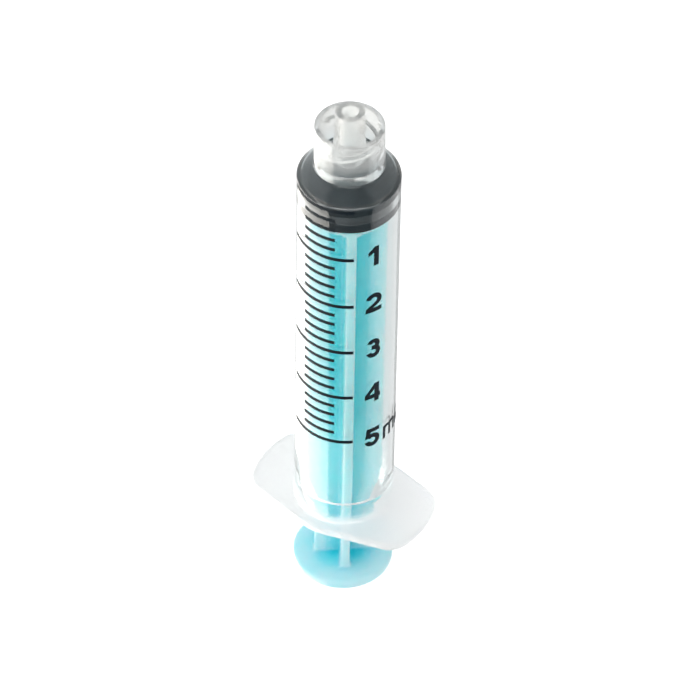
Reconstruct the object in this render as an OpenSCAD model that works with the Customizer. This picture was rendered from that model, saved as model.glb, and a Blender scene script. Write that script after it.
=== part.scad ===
// Three-part 5 mL syringe with a threaded luer collar.
// Origin: bottom centre of the thumb disc, plunger fully in. +Z runs along the barrel to the tip,
// and +X runs along the finger flange. Lengths are in millimetres, angles in degrees.

/* [Barrel] */
// Outside diameter of the graduated tube
barrel_d = 14.0; // [13.6:0.1:15]
// Diameter of the bore, which sets the spacing of the scale
bore_d = 12.06; // [11.9:0.02:12.2]
// Height of the barrel's open end above the thumb disc's face
mouth_z = 12.1; // [11:0.1:14]
// Height of the 5 mL mark
five_ml_z = 30.2; // [28:0.1:34]
// Radius of the fillet between tube and flange
flange_fillet = 0.7; // [0.3:0.1:1]
// Height of the retaining bead above the open end
bead_rise = 4.5; // [4:0.1:7]
// How far the retaining bead stands into the bore
bead_h = 0.2; // [0.1:0.05:0.3]

/* [Finger flange] */
// Distance from the axis to each end of the flange
flange_reach = 13.15; // [12.5:0.05:15]
// Radius of the round middle of the flange
flange_mid_r = 8.4; // [8:0.1:9.5]
// Angle at which each side tapers towards the ends
flange_taper = 13.5; // [8:0.5:16]
// Radius of the flange's corners
flange_corner_r = 3.2; // [2:0.1:4]
// Thickness of the flange
flange_t = 1.5; // [1:0.1:2.5]

/* [Shoulder and collar] */
// Height of the conical shoulder, from the tube's rim to the collar
shoulder_h = 1.75; // [1.5:0.05:2]
// Outside diameter of the collar where it meets the shoulder
collar_base_d = 9.6; // [9.4:0.1:10]
// Outside diameter of the collar at its open end
collar_end_d = 9.4; // [9.2:0.1:9.6]
// Inside diameter of the collar, at the roots of its thread
collar_bore_d = 8.0; // [7.9:0.05:8.1]
// Height of the collar above the shoulder
collar_h = 6.7; // [6:0.1:8]
// Height of the collar's floor above the foot of the collar
floor_rise = 1.0; // [0.8:0.1:1.5]

/* [Luer tip] */
// Diameter of the tip at its end
tip_end_d = 3.97; // [3.93:0.01:4.03]
// How far the tip stands out of the collar
tip_proud = 2.5; // [2.1:0.1:3]
// Radius of the lumen
lumen_r = 1.1; // [0.8:0.05:1.3]

/* [Thread] */
// Axial travel of the thread in one turn
thread_lead = 5.0; // [4.5:0.5:5.5]
// Diameter across the thread's crests
thread_crest_d = 7.1; // [7:0.05:7.2]
// Axial thickness of a thread rib
thread_rib_t = 0.8; // [0.6:0.05:1]

/* [Gasket] */
// Radial gap between the sealing ribs and the bore
seal_gap = 0.03; // [0.02:0.01:0.08]
// Length of the gasket from its rear edge to the foot of its nose
gasket_h = 4.7; // [4.5:0.1:5.5]
// Height of each sealing rib
seal_rib_h = 1.4; // [1:0.1:1.6]
// Depth of the groove between the ribs
seal_groove = 0.4; // [0.3:0.05:0.6]
// Radius of the flat on the gasket's nose
nose_r = 1.9; // [1.7:0.1:2.2]

/* [Plunger] */
// Diameter of the thumb disc
thumb_d = 14.1; // [13:0.1:16]
// Thickness of the thumb disc
thumb_t = 1.4; // [1.2:0.1:2]
// Thickness of each rib of the cross
rib_t = 1.2; // [1:0.1:1.4]
// Half width of the cross inside the barrel
rib_reach = 5.35; // [5:0.05:5.5]
// Half width of the cross next to the thumb disc
rib_neck = 4.05; // [3.8:0.05:4.5]
// Angle between the flange and the first rib
rib_turn = 37; // [0:1:90]
// Thickness of the disc that backs the gasket
backing_t = 1.0; // [0.8:0.1:1.4]
// Radius of the stud's neck
stud_neck_r = 2.4; // [2.2:0.1:2.6]
// Radius of the stud's barb
stud_barb_r = 3.3; // [3.1:0.1:3.4]

/* [Printed scale] */
// Thickness of the ink
ink_t = 0.04; // [0.03:0.01:0.08]
// Width of a printed line
line_w = 0.55; // [0.3:0.05:0.6]
// Half the arc that a long mark covers
long_half = 41; // [30:1:45]
// Angle at which a short mark starts, from the middle of the scale
short_from = -20; // [-30:1:-15]
// Angle at which a short mark ends, from the middle of the scale
short_to = 20; // [10:1:25]
// Height of a numeral
numeral_h = 3.5; // [3:0.1:4]
// Angle by which the print leans round the tube for each millimetre of height
print_lean = 0.06; // [0:0.01:0.1]

/* [Hidden] */

$fn = 96;
eps = 0.01;
bore_r = bore_d / 2;
barrel_r = barrel_d / 2;

// Scale: one millilitre of bore length, and the heights that follow from it
ml_pitch = 1000 / (PI * pow(bore_r, 2));
zero_z = five_ml_z + 5 * ml_pitch;
scale_middle = -90.8;
numeral_turn = 64.7;
unit_turn = 80.5;

// Barrel: heights from the open end to the tip
flange_top_z = mouth_z + flange_t;
bead_z = mouth_z + bead_rise;
bead_half = 0.7;
bore_top_z = zero_z + 0.25;
rim_z = bore_top_z + 0.65;
rim_edge = 0.15;
collar_z = rim_z + shoulder_h;
floor_z = collar_z + floor_rise;
collar_top_z = collar_z + collar_h;
tip_top_z = collar_top_z + tip_proud;
mouth_chamfer = 0.3;
flange_seam = 0.02;
collar_base_r = collar_base_d / 2;
collar_end_r = collar_end_d / 2;
collar_bore_r = collar_bore_d / 2;
luer_taper = 0.06 / 2;
tip_end_r = tip_end_d / 2;
tip_base_r = tip_end_r + luer_taper * (tip_top_z - floor_z);
tip_edge = 0.12;

// Thread: stepped segments that follow a two-start helix
thread_starts = 2;
thread_steps = 6;
thread_sweep = 180;
thread_low_z = floor_z + 1.3;
thread_crest_r = thread_crest_d / 2;
thread_flank = 0.25;
thread_root = 0.2;
thread_lap = 1.5;

// Nose cone: the bore's end and the gasket's nose share its slope
cone_slope = 2.75 / 4.13;
bore_cone_z = bore_top_z + cone_slope * (bore_r - nose_r);
nose_gap = 0.15;

// Gasket, counted from its rear edge
gasket_r = bore_r - seal_gap;
gasket_top_z = bore_top_z;
gasket_z = gasket_top_z - gasket_h;
seal_edge = 0.25;
nose_foot_r = gasket_r - 0.35;
nose_foot_z = bore_top_z + cone_slope * (bore_r - nose_foot_r) - nose_gap;
nose_top_z = bore_cone_z - nose_gap;
socket_gap = 0.05;
socket_ledge_z = gasket_z + 1.1;
socket_top_z = gasket_z + 4.4;
socket_tip_r = 1.7;

// Plunger
thumb_r = thumb_d / 2;
thumb_edge = 0.4;
backing_r = 5.3;
backing_top_z = gasket_z - socket_gap;
barb_z = socket_ledge_z + socket_gap;
barb_straight = 0.6;
stud_top_z = socket_top_z - 0.2;
neck_end_z = mouth_z - 0.6;
neck_ease = 8;
ease_steps = 10;

// Numerals: stroke widths and the boxes that the glyphs fill
bold = 0.75;
light = 0.46;
numeral_w = 2.45;
x_height = 2.5;
unit_m_w = 3.0;
unit_l_w = 1.8;
unit_gap = 0.55;

// A ring segment between two radii and two angles
module ring_arc(r_in, r_out, z0, z1, from, to) {
    rotate([0, 0, from])
        rotate_extrude(angle = to - from)
            translate([r_in, z0]) square([r_out - r_in, z1 - z0]);
}

// Part of a flat ring between two angles, up to 180 degrees apart
module arc_2d(r_out, w, from, to) {
    reach = 2 * r_out;
    middle = (from + to) / 2;
    intersection() {
        difference() {
            circle(r_out);
            circle(r_out - w);
        }
        polygon([[0, 0],
                 reach * [cos(from), sin(from)],
                 2 * reach * [cos(middle), sin(middle)],
                 reach * [cos(to), sin(to)]]);
    }
}

// A flat shape printed on the tube, centred at an angle, standing on a height
module print_on_tube(angle, z) {
    depth = 2;
    intersection() {
        rotate([0, 0, angle + 90]) translate([0, -barrel_r + depth / 2, z]) rotate([90, 0, 0])
            linear_extrude(depth) children();
        difference() {
            translate([0, 0, z - 1]) cylinder(r = barrel_r + ink_t, h = numeral_h + 2);
            translate([0, 0, z - 2]) cylinder(r = barrel_r, h = numeral_h + 4);
        }
    }
}

// Rounded lozenge of the finger flange
module flange_outline() {
    side = [sin(flange_taper), cos(flange_taper)];
    corner_reach = flange_reach - flange_corner_r;
    corner_angle = 90 - flange_taper
        - acos((flange_mid_r - flange_corner_r) / corner_reach);
    corner = corner_reach * [cos(corner_angle), sin(corner_angle)];
    circle(flange_mid_r);
    for (sx = [-1, 1]) {
        intersection() {
            circle(flange_reach);
            polygon([[0, 0],
                     2 * flange_reach * [sx * cos(corner_angle), sin(corner_angle)],
                     2 * flange_reach * [sx * cos(corner_angle), -sin(corner_angle)]]);
        }
        for (sy = [-1, 1]) {
            translate([sx * corner[0], sy * corner[1]]) circle(flange_corner_r);
            polygon([[0, 0],
                     (flange_mid_r - flange_seam) * [sx * side[0], sy * side[1]],
                     [sx * (corner[0] + (flange_corner_r - flange_seam) * side[0]),
                      sy * (corner[1] + (flange_corner_r - flange_seam) * side[1])],
                     [sx * corner[0], sy * corner[1]]]);
        }
    }
}

// Half section of the barrel without its flange
module barrel_section() {
    polygon([[bore_r + mouth_chamfer, mouth_z],
             [barrel_r, mouth_z],
             [barrel_r, rim_z - rim_edge],
             [barrel_r - rim_edge, rim_z],
             [collar_base_r, collar_z],
             [collar_end_r, collar_top_z],
             [collar_bore_r, collar_top_z],
             [collar_bore_r, floor_z],
             [tip_base_r, floor_z],
             [tip_end_r, tip_top_z - tip_edge],
             [tip_end_r - tip_edge, tip_top_z],
             [lumen_r, tip_top_z],
             [lumen_r, bore_cone_z],
             [nose_r, bore_cone_z],
             [bore_r, bore_top_z],
             [bore_r, bead_z + bead_half],
             [bore_r - bead_h, bead_z + bead_half / 2],
             [bore_r - bead_h, bead_z - bead_half / 2],
             [bore_r, bead_z - bead_half],
             [bore_r, mouth_z + mouth_chamfer]]);
    translate([barrel_r, flange_top_z]) difference() {
        square(flange_fillet);
        translate([flange_fillet, flange_fillet]) circle(flange_fillet);
    }
}

// One step of the thread rib on the collar's inner wall
module thread_step(from, to, z) {
    rotate([0, 0, from])
        rotate_extrude(angle = to - from)
            polygon([[collar_bore_r + thread_root, z],
                     [thread_crest_r, z + thread_flank],
                     [thread_crest_r, z + thread_rib_t - thread_flank],
                     [collar_bore_r + thread_root, z + thread_rib_t]]);
}

module collar_thread() {
    step = thread_sweep / thread_steps;
    rise = thread_lead * step / 360;
    for (start = [0 : thread_starts - 1]) {
        for (i = [0 : thread_steps - 1]) {
            from = start * 360 / thread_starts + i * step;
            thread_step(from, from + step + thread_lap, thread_low_z + i * rise);
        }
    }
}

module barrel() {
    color([0.86, 0.93, 0.94, 0.45]) {
        rotate_extrude() barrel_section();
        difference() {
            translate([0, 0, mouth_z]) linear_extrude(flange_t) flange_outline();
            translate([0, 0, mouth_z - 1]) cylinder(r = (barrel_r + bore_r) / 2, h = flange_t + 2);
        }
        collar_thread();
    }
}

// Half section of the thumb disc, with round edges
module thumb_section() {
    square([thumb_r - thumb_edge, thumb_t]);
    translate([0, thumb_edge]) square([thumb_r, thumb_t - 2 * thumb_edge]);
    for (z = [thumb_edge, thumb_t - thumb_edge]) translate([thumb_r - thumb_edge, z])
        circle(thumb_edge);
}

// Half width of the cross at a height: narrow by the thumb disc, eased out to full width
function ease(t) = (1 - cos(180 * t)) / 2;
function rib_edge(i) = [rib_neck + (rib_reach - rib_neck) * ease(i / ease_steps),
                        neck_end_z + neck_ease * i / ease_steps];

// One full blade of the cross, seen from its side
module blade() {
    top_z = backing_top_z - backing_t + eps;
    right = concat([[rib_neck, thumb_t - eps]],
                   [for (i = [0 : ease_steps]) rib_edge(i)],
                   [[rib_reach, top_z]]);
    left = [for (i = [len(right) - 1 : -1 : 0]) [-right[i][0], right[i][1]]];
    rotate([90, 0, 0]) linear_extrude(rib_t, center = true) polygon(concat(right, left));
}

module plunger_rod() {
    color([0.42, 0.82, 0.90]) {
        rotate_extrude() thumb_section();
        for (turn = [0, 90]) rotate([0, 0, rib_turn + turn]) blade();
        translate([0, 0, backing_top_z - backing_t]) cylinder(r = backing_r, h = backing_t);
        rotate_extrude() polygon([[0, backing_top_z - eps],
                                  [stud_neck_r, backing_top_z - eps],
                                  [stud_neck_r, barb_z],
                                  [stud_barb_r, barb_z],
                                  [stud_barb_r, barb_z + barb_straight],
                                  [socket_tip_r - 0.2, stud_top_z],
                                  [0, stud_top_z]]);
    }
}

module gasket() {
    rear = gasket_z;
    groove_r = gasket_r - seal_groove;
    color([0.15, 0.18, 0.20]) rotate_extrude()
        polygon([[stud_neck_r + socket_gap, rear],
                 [groove_r, rear],
                 [gasket_r, rear + seal_edge],
                 [gasket_r, rear + seal_edge + seal_rib_h],
                 [groove_r, rear + 2 * seal_edge + seal_rib_h],
                 [groove_r, gasket_top_z - 2 * seal_edge - seal_rib_h],
                 [gasket_r, gasket_top_z - seal_edge - seal_rib_h],
                 [gasket_r, gasket_top_z - seal_edge],
                 [nose_foot_r, nose_foot_z],
                 [nose_r, nose_top_z],
                 [0, nose_top_z],
                 [0, socket_top_z],
                 [socket_tip_r, socket_top_z],
                 [stud_barb_r + socket_gap, barb_z + barb_straight + 0.1],
                 [stud_barb_r + socket_gap, socket_ledge_z],
                 [stud_neck_r + socket_gap, socket_ledge_z]]);
}

// Angle of the scale's middle at a height: the print leans a little on the tube
function print_angle(z) = scale_middle - print_lean * (z - five_ml_z);

// A printed line round the tube, at a volume in mL and between two angles from the scale's middle
module mark(volume, from, to) {
    z = zero_z - volume * ml_pitch;
    ring_arc(barrel_r, barrel_r + ink_t, z - line_w / 2, z + line_w / 2,
             print_angle(z) + from, print_angle(z) + to);
}

module scale_long_marks() {
    color("#052030") for (volume = [0 : 5]) mark(volume, -long_half, long_half);
}

module scale_short_marks() {
    color("#052030") for (volume = [0 : 4]) {
        for (tenth = [2 : 2 : 8]) mark(volume + tenth / 10, short_from, short_to);
    }
}

// Numerals, drawn from x = 0 to numeral_w and from y = 0 to numeral_h
module glyph_1() {
    stem_x = 0.46 * numeral_w;
    flag_x = 0.12 * numeral_w;
    flag_y = 0.56 * numeral_h;
    translate([stem_x, 0]) square([bold, numeral_h]);
    polygon([[flag_x, flag_y],
             [stem_x + bold / 2, flag_y + 0.75],
             [stem_x + bold / 2, numeral_h],
             [stem_x + 0.1, numeral_h],
             [flag_x, flag_y + 0.6]]);
}

module glyph_2() {
    r = numeral_w / 2;
    tail = 42;
    lap = 3;
    bowl = [r, numeral_h - r];
    root = [cos(tail - lap), -sin(tail - lap)];
    translate(bowl) arc_2d(r, bold, 0, 170);
    translate(bowl) arc_2d(r, bold, -tail, 1);
    polygon([[0, bold - eps], [1, bold - eps], bowl + (r - eps) * root, bowl + (r - bold + eps) * root]);
    square([numeral_w, bold]);
}

module glyph_3() {
    upper = 1;
    lower = (numeral_h + bold) / 2 - upper;
    r = numeral_w / 2;
    translate([r, numeral_h - upper]) {
        arc_2d(upper, bold, 0, 165);
        arc_2d(upper, bold, -90, 1);
    }
    translate([r, lower]) {
        arc_2d(lower, bold, -165, 0);
        arc_2d(lower, bold, -1, 90);
    }
    translate([r - 0.3, 2 * lower - bold]) square([0.4, bold]);
}

module glyph_4() {
    bar_y = 0.72;
    stem_x = 0.60 * numeral_w;
    translate([stem_x, 0]) square([bold, numeral_h]);
    difference() {
        polygon([[0, bar_y], [numeral_w, bar_y], [numeral_w, bar_y + bold], [stem_x + bold, bar_y + bold],
                 [stem_x + bold, numeral_h], [stem_x, numeral_h], [0, bar_y + bold]]);
        polygon([[0.62, bar_y + bold], [stem_x, bar_y + bold], [stem_x, numeral_h - 1.05]]);
    }
}

module glyph_5() {
    r = numeral_w / 2;
    translate([r, r]) arc_2d(r, bold, -165, 0);
    translate([r, r]) arc_2d(r, bold, -1, 145);
    translate([0.32, numeral_h - bold]) square([numeral_w - 0.42, bold]);
    polygon([[0.10, r + 0.32], [0.10 + bold, r + 0.62], [0.98, numeral_h - eps], [0.32, numeral_h - eps]]);
}

module glyph_m() {
    arch_r = (unit_m_w + light) / 4;
    for (i = [0 : 2]) translate([i * (2 * arch_r - light), 0])
        square([light, x_height - (i == 0 ? 0 : arch_r - eps)]);
    for (i = [0, 1]) translate([arch_r + i * (2 * arch_r - light), x_height - arch_r])
        arc_2d(arch_r, light, 0, 180);
}

module glyph_l() {
    square([light, numeral_h]);
    square([unit_l_w, light]);
}

module numeral(value) {
    z = zero_z - value * ml_pitch;
    color("#052030") print_on_tube(print_angle(z) + numeral_turn, z - numeral_h / 2)
        translate([-numeral_w / 2, 0]) children();
}

module numeral_1() { numeral(1) glyph_1(); }
module numeral_2() { numeral(2) glyph_2(); }
module numeral_3() { numeral(3) glyph_3(); }
module numeral_4() { numeral(4) glyph_4(); }
module numeral_5() { numeral(5) glyph_5(); }

module unit_label() {
    z = five_ml_z - numeral_h / 2;
    m_turn = print_angle(five_ml_z) + unit_turn;
    l_turn = (unit_m_w + unit_gap) / barrel_r * 180 / PI;
    color("#052030") {
        print_on_tube(m_turn + unit_m_w / 2 / barrel_r * 180 / PI, z)
            translate([-unit_m_w / 2, 0]) glyph_m();
        print_on_tube(m_turn + l_turn + unit_l_w / 2 / barrel_r * 180 / PI, z)
            translate([-unit_l_w / 2, 0]) glyph_l();
    }
}

barrel();
plunger_rod();
gasket();
scale_long_marks();
scale_short_marks();
numeral_1();
numeral_2();
numeral_3();
numeral_4();
numeral_5();
unit_label();
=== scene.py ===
"""Looks for a 5 mL threaded-collar syringe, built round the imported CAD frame."""
import math

import bmesh
import bpy
from mathutils import Matrix, Vector


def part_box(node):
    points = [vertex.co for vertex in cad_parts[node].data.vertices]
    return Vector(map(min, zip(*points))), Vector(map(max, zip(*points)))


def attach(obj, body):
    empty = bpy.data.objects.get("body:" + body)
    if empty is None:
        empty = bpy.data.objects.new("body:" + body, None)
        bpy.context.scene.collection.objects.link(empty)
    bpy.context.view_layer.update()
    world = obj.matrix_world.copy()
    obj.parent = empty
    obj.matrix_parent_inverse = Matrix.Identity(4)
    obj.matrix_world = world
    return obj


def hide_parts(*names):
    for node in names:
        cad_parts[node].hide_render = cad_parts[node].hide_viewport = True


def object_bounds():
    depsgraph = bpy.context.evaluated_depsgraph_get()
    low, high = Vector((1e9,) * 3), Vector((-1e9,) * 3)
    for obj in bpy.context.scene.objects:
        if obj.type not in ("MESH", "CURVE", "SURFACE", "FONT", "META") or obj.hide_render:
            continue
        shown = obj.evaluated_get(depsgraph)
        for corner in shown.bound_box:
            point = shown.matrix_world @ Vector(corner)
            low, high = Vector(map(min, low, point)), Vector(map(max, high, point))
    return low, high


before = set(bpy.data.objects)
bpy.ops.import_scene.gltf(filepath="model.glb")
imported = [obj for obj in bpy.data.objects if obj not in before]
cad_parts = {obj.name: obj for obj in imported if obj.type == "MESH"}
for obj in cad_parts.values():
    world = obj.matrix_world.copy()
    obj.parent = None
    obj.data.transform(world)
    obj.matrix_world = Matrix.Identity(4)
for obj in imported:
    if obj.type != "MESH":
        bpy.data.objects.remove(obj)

MM = 0.001
cad_low, cad_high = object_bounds()

# ---------------------------------------------------------------- sizes, in mm
# Those that the frame holds are read from it. The rest repeat part.scad or are this scene's own roundings.
barrel_low, barrel_high = (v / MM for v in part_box("barrel"))
gasket_low, gasket_high = (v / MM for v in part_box("gasket"))
plunger_low, plunger_high = (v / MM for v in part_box("plunger_rod"))

MOUTH_Z, TIP_TOP_Z = barrel_low.z, barrel_high.z
FLANGE_REACH, FLANGE_MID_R = barrel_high.x, barrel_high.y
GASKET_Z, NOSE_TOP_Z, GASKET_R = gasket_low.z, gasket_high.z, gasket_high.x
THUMB_R = plunger_high.x

SEAL_GAP = 0.03
BARREL_R, BORE_R = 7.0, GASKET_R + SEAL_GAP
FLANGE_T, FLANGE_TAPER, FLANGE_CORNER_R, FLANGE_FILLET = 1.5, 13.5, 3.2, 0.7
FLANGE_TOP_Z = MOUTH_Z + FLANGE_T
BEAD_Z, BEAD_HALF, BEAD_H = MOUTH_Z + 4.5, 0.7, 0.2
GASKET_TOP_Z = GASKET_Z + 4.7
BORE_TOP_Z = GASKET_TOP_Z
RIM_Z = BORE_TOP_Z + 0.65
SHOULDER_H, COLLAR_BASE_R, COLLAR_END_R, COLLAR_BORE_R = 1.75, 4.8, 4.7, 4.0
COLLAR_Z = RIM_Z + SHOULDER_H
FLOOR_Z, COLLAR_TOP_Z = COLLAR_Z + 1.0, TIP_TOP_Z - 2.5
TIP_END_R, LUER_SLOPE, LUMEN_R = 1.985, 0.03, 1.1
NOSE_R, CONE_SLOPE = 1.9, 2.75 / 4.13
BORE_CONE_Z = BORE_TOP_Z + CONE_SLOPE * (BORE_R - NOSE_R)

THREAD_LEAD, THREAD_SWEEP, THREAD_H = 5.0, math.pi, 0.45
THREAD_RIB_T, THREAD_FLANK, THREAD_RUN_OUT = 0.8, 0.25, math.radians(14)
THREAD_LOW_Z = FLOOR_Z + 1.3

THUMB_T, THUMB_EDGE = 1.4, 0.4
RIB_TURN, RIB_HALF_T, RIB_NECK, RIB_REACH = math.radians(37), 0.6, 4.05, 5.35
NECK_END_Z, NECK_EASE = MOUTH_Z - 0.6, 8.0
BACKING_R, BACKING_T, BACKING_TOP_Z = 5.3, 1.0, GASKET_Z - 0.05
STUD_NECK_R, STUD_BARB_R, BARB_Z, STUD_TOP_Z = 2.4, 3.3, GASKET_Z + 1.15, plunger_high.z

# ---------------------------------------------------------------- mesh helpers


def arc(centre_r, centre_z, radius, start, end, steps=6):
    """Points (r, z) along an arc, from one angle in degrees to another."""
    angles = [math.radians(start + (end - start) * i / steps) for i in range(steps + 1)]
    return [(centre_r + radius * math.cos(a), centre_z + radius * math.sin(a)) for a in angles]


def rows(start, end, count):
    """Points on a straight line in the section, without its end."""
    return [(start[0] + (end[0] - start[0]) * i / count, start[1] + (end[1] - start[1]) * i / count)
            for i in range(count)]


def new_piece(name, verts, faces, smooth_angle=40):
    """A mesh object from points in mm, with doubled points merged and its faces turned outwards."""
    mesh = bpy.data.meshes.new(name)
    mesh.from_pydata([tuple(c * MM for c in v) for v in verts], [], faces)
    shape = bmesh.new()
    shape.from_mesh(mesh)
    bmesh.ops.remove_doubles(shape, verts=shape.verts, dist=1e-8)
    bmesh.ops.recalc_face_normals(shape, faces=shape.faces)
    shape.to_mesh(mesh)
    shape.free()
    piece = bpy.data.objects.new(name, mesh)
    bpy.context.scene.collection.objects.link(piece)
    shade(piece, smooth_angle)
    return piece


def shade(piece, smooth_angle):
    """Smooth shading, with creases where faces meet at more than the angle."""
    mesh = piece.data
    mesh.shade_smooth()
    mesh.set_sharp_from_angle(angle=math.radians(smooth_angle))


def lathe(name, section, turns, closed=True, smooth_angle=40):
    """A body of revolution. section(angle) gives its half section (r, z) at that angle.

    A closed section is a ring clear of the axis; an open one starts and ends on the axis.
    """
    angles = [2 * math.pi * i / turns for i in range(turns)]
    sections = [section(a) for a in angles]
    count = len(sections[0])
    verts = [(r * math.cos(a), r * math.sin(a), z) for a, s in zip(angles, sections) for r, z in s]
    faces = []
    for i in range(turns):
        here, there = i * count, (i + 1) % turns * count
        for j in range(count if closed else count - 1):
            k = (j + 1) % count
            faces.append((here + j, there + j, there + k, here + k))
    return new_piece(name, verts, faces, smooth_angle)


def smooth_step(t):
    """Eases from 0 to 1 as t does, and is flat at both ends."""
    t = min(max(t, 0.0), 1.0)
    return t * t * (3 - 2 * t)


# ---------------------------------------------------------------- barrel


def level_vector(degrees):
    return Vector((math.cos(math.radians(degrees)), math.sin(math.radians(degrees))))


def flange_radius(angle):
    """Distance from the axis to the rim of the rounded lozenge, at an angle about +Z."""
    a = math.degrees(math.atan2(abs(math.sin(angle)), abs(math.cos(angle))))
    corner_reach = FLANGE_REACH - FLANGE_CORNER_R
    side_angle = 90 - FLANGE_TAPER
    corner_angle = side_angle - math.degrees(math.acos((FLANGE_MID_R - FLANGE_CORNER_R) / corner_reach))
    touch = level_vector(corner_angle) * corner_reach + level_vector(side_angle) * FLANGE_CORNER_R
    touch_angle = math.degrees(math.atan2(touch.y, touch.x))
    if a <= corner_angle:
        return FLANGE_REACH
    if a <= touch_angle:
        off = math.radians(a - corner_angle)
        across = corner_reach * math.sin(off)
        return corner_reach * math.cos(off) + math.sqrt(FLANGE_CORNER_R ** 2 - across ** 2)
    if a <= side_angle:
        return FLANGE_MID_R / math.cos(math.radians(side_angle - a))
    return FLANGE_MID_R


def thread_depth(angle, z):
    """How far the two-start thread stands in from the collar's wall."""
    depth = 0.0
    for start in (0.0, math.pi):
        turn = (angle - start) % (2 * math.pi)
        middle = THREAD_LOW_Z + THREAD_LEAD * turn / (2 * math.pi) + THREAD_RIB_T / 2
        flank = (THREAD_RIB_T / 2 + THREAD_FLANK / 2 - abs(z - middle)) / THREAD_FLANK
        fade = min(turn, THREAD_SWEEP - turn) / THREAD_RUN_OUT
        depth = max(depth, THREAD_H * smooth_step(flank) * smooth_step(fade))
    return depth


def barrel_section(angle):
    """Half section, from the mouth out over the flange, up the outside, and back down the bore."""
    edge, rim, lip, mouth_round = 0.45, 0.6, 0.15, 0.3
    foot, floor_fillet, tip_edge, lumen_edge = 0.35, 0.3, 0.18, 0.12
    reach = flange_radius(angle)
    tip_base_r = TIP_END_R + LUER_SLOPE * (TIP_TOP_Z - FLOOR_Z)
    section = []
    # flange: lower face, round edge, upper face
    section += [(BORE_R + mouth_round, MOUTH_Z), (BARREL_R, MOUTH_Z)]
    section += arc(reach - edge, MOUTH_Z + edge, edge, -90, 0)
    section += arc(reach - edge, FLANGE_TOP_Z - edge, edge, 0, 90)
    section += arc(BARREL_R + FLANGE_FILLET, FLANGE_TOP_Z + FLANGE_FILLET, FLANGE_FILLET, -90, -180, 8)
    # tube and its conical shoulder
    section += rows((BARREL_R, FLANGE_TOP_Z + FLANGE_FILLET + 0.1), (BARREL_R, RIM_Z - rim), 24)
    section += arc(BARREL_R - rim, RIM_Z - rim, rim, 0, 52, 10)
    section += arc(COLLAR_BASE_R + foot, COLLAR_Z + 0.1, foot, -112, -180)
    # collar
    section += arc(COLLAR_END_R - lip, COLLAR_TOP_Z - lip, lip, 0, 90, 4)
    section += arc(COLLAR_BORE_R + lip, COLLAR_TOP_Z - lip, lip, 90, 180, 4)
    wall = rows((COLLAR_BORE_R, COLLAR_TOP_Z - lip - 0.05), (COLLAR_BORE_R, FLOOR_Z + floor_fillet), 84)
    section += [(r - thread_depth(angle, z), z) for r, z in wall]
    section += arc(COLLAR_BORE_R - floor_fillet, FLOOR_Z + floor_fillet, floor_fillet, 0, -90, 4)
    # tip and lumen
    section += arc(tip_base_r + floor_fillet, FLOOR_Z + floor_fillet, floor_fillet, -90, -180, 4)
    section += arc(TIP_END_R - tip_edge, TIP_TOP_Z - tip_edge, tip_edge, 0, 90, 5)
    section += arc(LUMEN_R + lumen_edge, TIP_TOP_Z - lumen_edge, lumen_edge, 90, 180, 4)
    section += rows((LUMEN_R, TIP_TOP_Z - 0.3), (LUMEN_R, BORE_CONE_Z), 6)
    # bore: end cone, wall, retaining bead and mouth
    section += [(LUMEN_R, BORE_CONE_Z), (NOSE_R, BORE_CONE_Z)]
    section += rows((BORE_R, BORE_TOP_Z), (BORE_R, BEAD_Z + BEAD_HALF), 20)
    steps = 12
    for i in range(steps + 1):
        t = 1 - 2 * i / steps
        section.append((BORE_R - BEAD_H * smooth_step(1 - abs(t)), BEAD_Z + BEAD_HALF * t))
    section += arc(BORE_R + mouth_round, MOUTH_Z + mouth_round, mouth_round, 180, 270, 5)[:-1]
    return section


def make_barrel():
    return lathe("barrel_shell", barrel_section, 288, smooth_angle=50)


# ---------------------------------------------------------------- gasket


def gasket_section(_angle):
    """Half section, from the top of the stud's socket round the rear to the flat of the nose."""
    rear, groove, rib, edge = GASKET_Z, 0.4, 1.4, 0.25
    squeeze = 0.04  # brings the ribs 0.01 past the bore's wall
    rear_round, groove_round, top_round, nose_round = 0.2, 0.22, 0.6, 0.35
    seal_r = GASKET_R + squeeze
    groove_r = GASKET_R - groove
    top = GASKET_TOP_Z
    gap = 0.05
    ledge_z, socket_top_z = rear + 1.1, rear + 4.4
    section = [(0, socket_top_z), (1.7, socket_top_z), (STUD_BARB_R + gap, ledge_z + 0.75),
               (STUD_BARB_R + gap, ledge_z), (STUD_NECK_R + gap, ledge_z), (STUD_NECK_R + gap, rear)]
    section += arc(groove_r - rear_round, rear + rear_round, rear_round, -90, -20, 3)
    section += arc(seal_r - edge, rear + edge + 0.1, edge, -50, 0, 4)
    section += arc(seal_r - edge, rear + edge + rib - 0.1, edge, 0, 60, 4)
    section += arc(groove_r + groove_round, rear + 2 * edge + rib + 0.1, groove_round, 240, 180, 3)
    section += arc(groove_r + groove_round, top - 2 * edge - rib - 0.1, groove_round, 180, 120, 3)
    section += arc(seal_r - edge, top - edge - rib + 0.1, edge, -60, 0, 4)
    section += arc(seal_r - top_round, top - top_round, top_round, 0, 56, 8)
    section += arc(NOSE_R - 0.1, NOSE_TOP_Z - nose_round, nose_round, 56, 90, 3)
    return section + [(0, NOSE_TOP_Z)]


def make_gasket():
    return lathe("gasket_rubber", gasket_section, 160, closed=False, smooth_angle=50)


# ---------------------------------------------------------------- plunger


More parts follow.
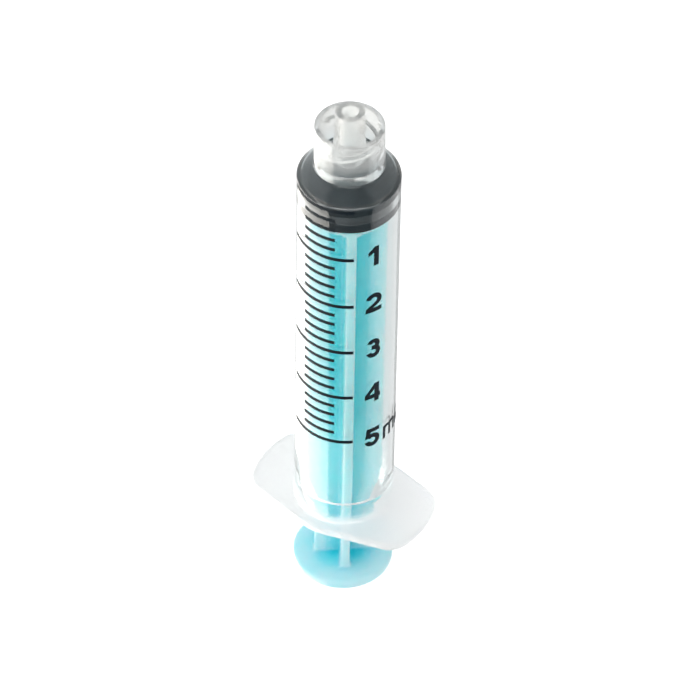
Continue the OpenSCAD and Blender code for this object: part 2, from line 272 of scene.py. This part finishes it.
def cross_outline(half_w, half_t, tip_edge=0.2, corner=0.4):
    """Points (x, y) round a cross with rounded tips and filleted corners, turned to the ribs' angle."""
    arm = arc(half_w - tip_edge, tip_edge - half_t, tip_edge, -90, 0, 4)
    arm += arc(half_w - tip_edge, half_t - tip_edge, tip_edge, 0, 90, 4)
    arm += arc(half_t + corner, half_t + corner, corner, 270, 180, 4)
    outline = []
    for quarter in range(4):
        turn = Matrix.Rotation(RIB_TURN + quarter * math.pi / 2, 2)
        outline += [turn @ Vector(point) for point in arm]
    return outline


def rib_half_width(z):
    """The cross is narrow by the thumb disc and eases out to full width inside the barrel."""
    t = min(max((z - NECK_END_Z) / NECK_EASE, 0.0), 1.0)
    return RIB_NECK + (RIB_REACH - RIB_NECK) * (1 - math.cos(math.pi * t)) / 2


def flare(distance, radius=0.6):
    """How far a fillet of this radius stands out at a distance from the face that it runs into."""
    rise = radius - min(max(distance, 0.0), radius)
    return radius - math.sqrt(radius ** 2 - rise ** 2)


def make_ribs():
    """The cross from thumb disc to backing disc, sunk into both and flared where it meets them."""
    backing_low_z = BACKING_TOP_Z - BACKING_T
    sunk, ease, ease_rows, rows_between = 0.5, 0.6, 12, 60
    straight = backing_low_z - THUMB_T - 2 * ease
    heights = [THUMB_T - sunk]
    heights += [THUMB_T + ease * (i / ease_rows) ** 2 for i in range(ease_rows)]
    heights += [THUMB_T + ease + straight * i / rows_between for i in range(rows_between + 1)]
    heights += [backing_low_z - ease * (1 - i / ease_rows) ** 2 for i in range(1, ease_rows + 1)]
    heights.append(backing_low_z + sunk)
    verts, faces = [], []
    for z in heights:
        out = max(flare(z - THUMB_T), flare(backing_low_z - z))
        half_w = min(rib_half_width(z) + out, RIB_REACH)
        verts += [(p.x, p.y, z) for p in cross_outline(half_w, RIB_HALF_T + out)]
    count = len(verts) // len(heights)
    for i in range(len(heights) - 1):
        for j in range(count):
            k = (j + 1) % count
            faces.append((i * count + j, i * count + k, (i + 1) * count + k, (i + 1) * count + j))
    faces.append(tuple(reversed(range(count))))
    faces.append(tuple(range(len(verts) - count, len(verts))))
    return new_piece("plunger_cross", verts, faces, 35)


def thumb_section(_angle):
    section = [(0, 0)] + arc(THUMB_R - THUMB_EDGE, THUMB_EDGE, THUMB_EDGE, -90, 0, 6)
    section += arc(THUMB_R - THUMB_EDGE, THUMB_T - THUMB_EDGE, THUMB_EDGE, 0, 90, 6)
    return section + [(0, THUMB_T)]


def head_section(_angle):
    """The disc that backs the gasket, with the barbed stud on it."""
    low, edge = BACKING_TOP_Z - BACKING_T, 0.15
    section = [(0, low)] + arc(BACKING_R - edge, low + edge, edge, -90, 0, 3)
    section += arc(BACKING_R - edge, BACKING_TOP_Z - edge, edge, 0, 90, 3)
    section += [(STUD_NECK_R, BACKING_TOP_Z), (STUD_NECK_R, BARB_Z), (STUD_BARB_R, BARB_Z),
                (STUD_BARB_R, BARB_Z + 0.6), (1.5, STUD_TOP_Z)]
    return section + [(0, STUD_TOP_Z)]


def join_solids(body, others):
    """Replaces a piece's mesh with its union with the others, which are then removed."""
    for other in others:
        union = body.modifiers.new("union", "BOOLEAN")
        union.operation, union.solver, union.object = "UNION", "EXACT", other
    bpy.context.view_layer.update()
    joined = bpy.data.meshes.new_from_object(body.evaluated_get(bpy.context.evaluated_depsgraph_get()))
    body.modifiers.clear()
    body.data = joined
    for other in others:
        bpy.data.objects.remove(other)


def make_plunger():
    plunger = make_ribs()
    thumb = lathe("thumb_disc", thumb_section, 160, closed=False)
    head = lathe("plunger_head", head_section, 120, closed=False)
    join_solids(plunger, [thumb, head])
    shade(plunger, 35)
    plunger.name = plunger.data.name = "plunger_moulding"
    return plunger


# ---------------------------------------------------------------- looks, fitted to the photo

PLASTIC_IOR = 1.49
TUBE_TINT, FLANGE_TINT, COLLAR_TINT = (0.86, 0.92, 0.925), (0.96, 0.975, 0.98), (0.90, 0.91, 0.90)
CLOUD_HAZE, FLANGE_HAZE, COLLAR_HAZE = (0.004, 0.014), 0.42, 0.18
FLANGE_FROST, COLLAR_FROST = 0.26, 0.07
# The disc and rod colour pairs hold painted light and shade: the first of each pair is a shaded deep blue for
# near the axis, the second a lit pale blue for the thin outer edges.
DISC_SHADED_DEEP, DISC_LIT_PALE = (0.005, 0.70, 0.78), (0.56, 0.78, 0.83)
ROD_SHADED_DEEP, ROD_LIT_PALE = (0.045, 0.78, 0.84), (0.55, 0.86, 0.91)
SCATTER_RADIUS, SCATTER_SCALE = (0.5, 1.5, 1.8), 1.2
RUBBER_DARK, RUBBER_LIGHT = (0.008, 0.018, 0.023), (0.018, 0.034, 0.042)
INK_DARK, INK_LIGHT = (0.001, 0.006, 0.012), (0.004, 0.014, 0.022)


def material(name):
    made = bpy.data.materials.new(name)
    made.use_nodes = True
    return made, made.node_tree.nodes, made.node_tree.links, made.node_tree.nodes["Principled BSDF"]


def object_point(nodes):
    return nodes.new("ShaderNodeTexCoord").outputs["Object"]


def noise(nodes, links, point, scale, detail=3.0, roughness=0.5):
    """Noise whose size is given in features per millimetre."""
    made = nodes.new("ShaderNodeTexNoise")
    made.inputs["Scale"].default_value = scale / MM
    made.inputs["Detail"].default_value = detail
    made.inputs["Roughness"].default_value = roughness
    links.new(point, made.inputs["Vector"])
    return made.outputs["Fac"]


def spread(nodes, links, value, low, high, from_low=0.3, from_high=0.7):
    """Maps a 0 to 1 value onto a range, smoothly."""
    made = nodes.new("ShaderNodeMapRange")
    made.interpolation_type = "SMOOTHSTEP"
    made.inputs["From Min"].default_value, made.inputs["From Max"].default_value = from_low, from_high
    made.inputs["To Min"].default_value, made.inputs["To Max"].default_value = low, high
    links.new(value, made.inputs["Value"])
    return made.outputs["Result"]


def blend_colour(nodes, links, factor, low, high):
    made = nodes.new("ShaderNodeMix")
    made.data_type = "RGBA"
    links.new(factor, made.inputs["Factor"])
    made.inputs["A"].default_value = (*low, 1)
    made.inputs["B"].default_value = (*high, 1)
    return made.outputs["Result"]


def math_node(nodes, links, operation, a, b):
    made = nodes.new("ShaderNodeMath")
    made.operation = operation
    for socket, value in zip(made.inputs, (a, b)):
        if isinstance(value, (int, float)):
            socket.default_value = value
        else:
            links.new(value, socket)
    return made.outputs["Value"]


def add_bump(nodes, links, shader, height, strength, distance):
    bump = nodes.new("ShaderNodeBump")
    bump.inputs["Strength"].default_value = strength
    bump.inputs["Distance"].default_value = distance * MM
    links.new(height, bump.inputs["Height"])
    links.new(bump.outputs["Normal"], shader.inputs["Normal"])


def clear_plastic():
    """Clear moulded plastic: cloudier where the part is thick, in the flange and the collar."""
    made, nodes, links, shader = material("clear_plastic")
    point = object_point(nodes)
    height = nodes.new("ShaderNodeSeparateXYZ")
    links.new(point, height.inputs[0])
    z = height.outputs["Z"]
    in_flange = spread(nodes, links, z, 1, 0, (FLANGE_TOP_Z + 0.1) * MM, (FLANGE_TOP_Z + 1.6) * MM)
    in_collar = spread(nodes, links, z, 0, 1, (COLLAR_Z + 0.9) * MM, (COLLAR_Z + 3.6) * MM)
    cloud = noise(nodes, links, point, 0.35, 4)
    thick = math_node(nodes, links, "ADD", math_node(nodes, links, "MULTIPLY", in_flange, FLANGE_HAZE),
                      math_node(nodes, links, "MULTIPLY", in_collar, COLLAR_HAZE))
    haze = math_node(nodes, links, "ADD", spread(nodes, links, cloud, *CLOUD_HAZE), thick)
    links.new(math_node(nodes, links, "SUBTRACT", 1.0, haze), shader.inputs["Transmission Weight"])
    flange_tint = blend_colour(nodes, links, in_flange, TUBE_TINT, FLANGE_TINT)
    tint = nodes.new("ShaderNodeMix")
    tint.data_type = "RGBA"
    links.new(in_collar, tint.inputs["Factor"])
    links.new(flange_tint, tint.inputs["A"])
    tint.inputs["B"].default_value = (*COLLAR_TINT, 1)
    links.new(tint.outputs["Result"], shader.inputs["Base Color"])
    grain = spread(nodes, links, noise(nodes, links, point, 1.6, 5), 0.05, 0.11)
    frosting = math_node(nodes, links, "ADD", math_node(nodes, links, "MULTIPLY", in_flange, FLANGE_FROST),
                         math_node(nodes, links, "MULTIPLY", in_collar, COLLAR_FROST))
    links.new(math_node(nodes, links, "ADD", grain, frosting), shader.inputs["Roughness"])
    shader.inputs["IOR"].default_value = PLASTIC_IOR
    add_bump(nodes, links, shader, noise(nodes, links, point, 0.5, 3), 0.15, 0.02)
    return made


def blue_plastic():
    """Translucent sky-blue moulded plastic, with painted light and shade: a deeper blue near the axis is
    painted shade between the ribs, and a paler blue at the thin outer edges is painted light glowing through
    them.
    """
    made, nodes, links, shader = material("blue_plastic")
    point = object_point(nodes)
    turn = nodes.new("ShaderNodeVectorRotate")
    turn.rotation_type = "Z_AXIS"
    turn.inputs["Angle"].default_value = -RIB_TURN
    links.new(point, turn.inputs["Vector"])
    place = nodes.new("ShaderNodeSeparateXYZ")
    links.new(turn.outputs["Vector"], place.inputs[0])
    x, y, z = place.outputs
    along_rib = math_node(nodes, links, "MAXIMUM", math_node(nodes, links, "ABSOLUTE", x, 0),
                          math_node(nodes, links, "ABSOLUTE", y, 0))
    half_w = spread(nodes, links, z, RIB_NECK * MM, RIB_REACH * MM, NECK_END_Z * MM,
                    (NECK_END_Z + NECK_EASE) * MM)
    radius = math_node(nodes, links, "POWER",
                       math_node(nodes, links, "ADD", math_node(nodes, links, "MULTIPLY", x, x),
                                 math_node(nodes, links, "MULTIPLY", y, y)), 0.5)
    # Painted light and shade: the colour runs from a shaded deep blue near the axis to a lit pale blue at the
    # outer edges of the ribs and the thumb disc. The ribs are also made paler towards the bottom, fully so
    # below 20 mm.
    rib_edge_light = spread(nodes, links, math_node(nodes, links, "DIVIDE", along_rib, half_w), 0, 1, 0.15, 1.08)
    low_down = spread(nodes, links, z, 0.35, 0, 20 * MM, 32 * MM)
    rib_edge_light = math_node(nodes, links, "ADD", rib_edge_light, low_down)
    disc_edge_light = spread(nodes, links, radius, 0, 0.9, 1.0 * MM, 6.5 * MM)
    in_disc = spread(nodes, links, z, 1, 0, THUMB_T * MM, (THUMB_T + 0.5) * MM)
    choose = nodes.new("ShaderNodeMix")
    links.new(in_disc, choose.inputs["Factor"])
    links.new(rib_edge_light, choose.inputs["A"])
    links.new(disc_edge_light, choose.inputs["B"])
    cloud = spread(nodes, links, noise(nodes, links, point, 0.25, 3), -0.08, 0.08)
    painted_edge_light = math_node(nodes, links, "ADD", cloud, choose.outputs["Result"])
    inside = spread(nodes, links, z, 0, 1, 6 * MM, 18 * MM)
    colour = nodes.new("ShaderNodeMix")
    colour.data_type = "RGBA"
    links.new(painted_edge_light, colour.inputs["Factor"])
    links.new(blend_colour(nodes, links, inside, DISC_SHADED_DEEP, ROD_SHADED_DEEP), colour.inputs["A"])
    links.new(blend_colour(nodes, links, inside, DISC_LIT_PALE, ROD_LIT_PALE), colour.inputs["B"])
    links.new(colour.outputs["Result"], shader.inputs["Base Color"])
    grain = noise(nodes, links, point, 3.0, 4)
    links.new(spread(nodes, links, grain, 0.26, 0.4), shader.inputs["Roughness"])
    shader.inputs["Subsurface Weight"].default_value = 0.9
    shader.inputs["Subsurface Radius"].default_value = SCATTER_RADIUS
    shader.inputs["Subsurface Scale"].default_value = SCATTER_SCALE * MM
    shader.inputs["Specular IOR Level"].default_value = 0.35
    add_bump(nodes, links, shader, noise(nodes, links, point, 6.0, 3), 0.1, 0.01)
    return made


def gasket_rubber():
    """Dark grey rubber with a fine grain."""
    made, nodes, links, shader = material("gasket_rubber")
    point = object_point(nodes)
    grain = noise(nodes, links, point, 5.0, 5, 0.6)
    links.new(blend_colour(nodes, links, grain, RUBBER_DARK, RUBBER_LIGHT),
              shader.inputs["Base Color"])
    links.new(spread(nodes, links, grain, 0.35, 0.55), shader.inputs["Roughness"])
    shader.inputs["Specular IOR Level"].default_value = 0.12
    add_bump(nodes, links, shader, grain, 0.3, 0.015)
    return made


def ink():
    """Printed black ink with a slightly uneven film."""
    made, nodes, links, shader = material("ink")
    point = object_point(nodes)
    film = noise(nodes, links, point, 4.0, 4)
    links.new(blend_colour(nodes, links, film, INK_DARK, INK_LIGHT),
              shader.inputs["Base Color"])
    links.new(spread(nodes, links, film, 0.45, 0.7), shader.inputs["Roughness"])
    shader.inputs["Specular IOR Level"].default_value = 0.1
    return made


def paint(piece, finish):
    piece.data.materials.clear()
    piece.data.materials.append(finish)


# ---------------------------------------------------------------- stage, light and camera


def make_stage():
    """A white floor that only the camera sees. It rides on the plunger, since the thumb disc stands on it."""
    size = 4.0
    mesh = bpy.data.meshes.new("floor")
    corners = [(-size, -size, 0), (size, -size, 0), (size, size, 0), (-size, size, 0)]
    mesh.from_pydata(corners, [], [(0, 1, 2, 3)])
    floor = bpy.data.objects.new("floor", mesh)
    bpy.context.scene.collection.objects.link(floor)
    made, nodes, links, shader = material("floor_white")
    shader.inputs["Base Color"].default_value = (0.8, 0.8, 0.8, 1)
    shader.inputs["Roughness"].default_value = 0.9
    shader.inputs["Emission Color"].default_value = (1, 1, 1, 1)
    shader.inputs["Emission Strength"].default_value = 0.7
    mesh.materials.append(made)
    for kind in ("diffuse", "glossy", "transmission", "volume_scatter", "shadow"):
        setattr(floor, "visible_" + kind, False)
    floor.location.z = -0.05 * MM
    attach(floor, "plunger")


def direction(azimuth, elevation):
    """Unit vector from the object, measured as the camera's angles are."""
    a, e = math.radians(azimuth), math.radians(elevation)
    return Vector((math.sin(a) * math.cos(e), -math.cos(a) * math.cos(e), math.sin(e)))


def make_light(name, azimuth, elevation, distance, width, height, radiance, colour, glossy_only=False):
    """A soft box that faces the middle of the syringe. Its power follows from its radiance and size."""
    light = bpy.data.lights.new(name, "AREA")
    light.shape = "RECTANGLE"
    light.size, light.size_y = width, height
    light.energy = radiance * math.pi * width * height
    light.color = colour
    lamp = bpy.data.objects.new(name, light)
    bpy.context.scene.collection.objects.link(lamp)
    middle = Vector((0, 0, (cad_low.z + cad_high.z) / 2))
    out = direction(azimuth, elevation)
    lamp.location = middle + out * distance
    lamp.rotation_mode = "QUATERNION"
    lamp.rotation_quaternion = out.to_track_quat("Z", "Y")
    lamp.visible_camera = False
    lamp.visible_transmission = False
    if glossy_only:
        lamp.visible_diffuse = False
    return lamp


CAMERA_AZIMUTH, CAMERA_ELEVATION, CAMERA_ROLL = 31.0, 45.591, 1.015
CAMERA_DISTANCE, CAMERA_LENS = 729.573, 274.24
CAMERA_AIM = (0.533, 41.162)  # mm right of the axis and above the floor


def make_camera():
    """The photo's camera, as fitted to the scale and outlines."""
    back = direction(CAMERA_AZIMUTH, CAMERA_ELEVATION)
    right = Vector((math.cos(math.radians(CAMERA_AZIMUTH)), math.sin(math.radians(CAMERA_AZIMUTH)), 0))
    up = back.cross(right)
    roll = math.radians(CAMERA_ROLL)
    lens_right = math.cos(roll) * right + math.sin(roll) * up
    lens_up = math.cos(roll) * up - math.sin(roll) * right
    data = bpy.data.cameras.new("camera")
    data.lens, data.sensor_width = CAMERA_LENS, 36.0
    data.clip_start, data.clip_end = 0.05, 20.0
    camera = bpy.data.objects.new("camera", data)
    bpy.context.scene.collection.objects.link(camera)
    aim = right * CAMERA_AIM[0] + Vector((0, 0, CAMERA_AIM[1]))
    place = (aim + back * CAMERA_DISTANCE) * MM
    turned = Matrix((lens_right, lens_up, back)).transposed().to_4x4()
    camera.matrix_world = Matrix.Translation(place) @ turned
    bpy.context.scene.camera = camera


ROOM_LIGHT, DARK_SIDE, RIGHT_SIDE, THROUGH = 1.1, 0.1, 0.75, 0.85


def make_world():
    """A white room, dimmer on the right.

    It isn't physical: the photographer's side is dark in reflections only, light seen through plastic is
    scaled by THROUGH, and the camera sees a plain backdrop.
    """
    scene = bpy.context.scene
    world = bpy.data.worlds.new("studio")
    world.use_nodes = True
    nodes, links = world.node_tree.nodes, world.node_tree.links
    background = nodes["Background"]
    background.inputs["Color"].default_value = (1, 1, 1, 1)
    coords = nodes.new("ShaderNodeTexCoord")
    flat = nodes.new("ShaderNodeVectorMath")
    flat.operation = "MULTIPLY"
    flat.inputs[1].default_value = (1, 1, 0)
    links.new(coords.outputs["Generated"], flat.inputs[0])
    level = nodes.new("ShaderNodeVectorMath")
    level.operation = "NORMALIZE"
    links.new(flat.outputs["Vector"], level.inputs[0])

    def toward(azimuth):
        """Cosine of the level angle between a ray and an azimuth."""
        made = nodes.new("ShaderNodeVectorMath")
        made.operation = "DOT_PRODUCT"
        made.inputs[1].default_value = direction(azimuth, 0)
        links.new(level.outputs["Vector"], made.inputs[0])
        return made.outputs["Value"]

    room = spread(nodes, links, toward(CAMERA_AZIMUTH + 90), ROOM_LIGHT, RIGHT_SIDE, -0.1, 0.3)
    dark = spread(nodes, links, toward(CAMERA_AZIMUTH), 1, DARK_SIDE / ROOM_LIGHT,
                  math.cos(math.radians(75)), math.cos(math.radians(45)))
    path = nodes.new("ShaderNodeLightPath")
    reflected = math_node(nodes, links, "MULTIPLY", path.outputs["Is Glossy Ray"],
                          math_node(nodes, links, "SUBTRACT", 1.0, path.outputs["Is Transmission Ray"]))
    strength = nodes.new("ShaderNodeMix")
    links.new(room, strength.inputs["A"])
    links.new(reflected, strength.inputs["Factor"])
    links.new(math_node(nodes, links, "MULTIPLY", room, dark), strength.inputs["B"])
    through = spread(nodes, links, path.outputs["Is Transmission Ray"], 1, THROUGH, 0, 1)
    lit = math_node(nodes, links, "MULTIPLY", strength.outputs["Result"], through)
    backdrop = math_node(nodes, links, "MULTIPLY", path.outputs["Is Camera Ray"], ROOM_LIGHT)
    links.new(math_node(nodes, links, "MAXIMUM", lit, backdrop), background.inputs["Strength"])
    scene.world = world
    scene.view_settings.view_transform = "Standard"
    scene.cycles.max_bounces = 16
    scene.cycles.transmission_bounces = 14
    scene.cycles.transparent_max_bounces = 16
    scene.cycles.denoising_input_passes = "RGB"


# ---------------------------------------------------------------- build

make_camera()
make_world()
make_stage()
key = make_light("key", CAMERA_AZIMUTH - 60, elevation=50, distance=0.6, width=0.4, height=0.4,
                 radiance=0.4, colour=(1, 0.99, 0.97))
key.visible_glossy = False
make_light("left_card", CAMERA_AZIMUTH - 95, elevation=-45, distance=0.5, width=0.75, height=0.5,
           radiance=4.2, colour=(1.0, 0.96, 0.88), glossy_only=True)
make_light("front_card", CAMERA_AZIMUTH, elevation=20, distance=0.5, width=0.6, height=0.3,
           radiance=3.0, colour=(1, 1, 1), glossy_only=True)
make_light("right_card", CAMERA_AZIMUTH + 95, elevation=-45, distance=0.5, width=0.6, height=0.5,
           radiance=0.9, colour=(1, 1, 1), glossy_only=True)

clear, blue, rubber, black = clear_plastic(), blue_plastic(), gasket_rubber(), ink()
barrel = make_barrel()
paint(barrel, clear)
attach(barrel, "barrel")
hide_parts("barrel")
barrel.visible_shadow = False

gasket = make_gasket()
paint(gasket, rubber)
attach(gasket, "gasket")
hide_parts("gasket")

plunger = make_plunger()
paint(plunger, blue)
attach(plunger, "plunger")
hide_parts("plunger_rod")

for node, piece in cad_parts.items():
    if node not in ("barrel", "gasket", "plunger_rod"):
        paint(piece, black)
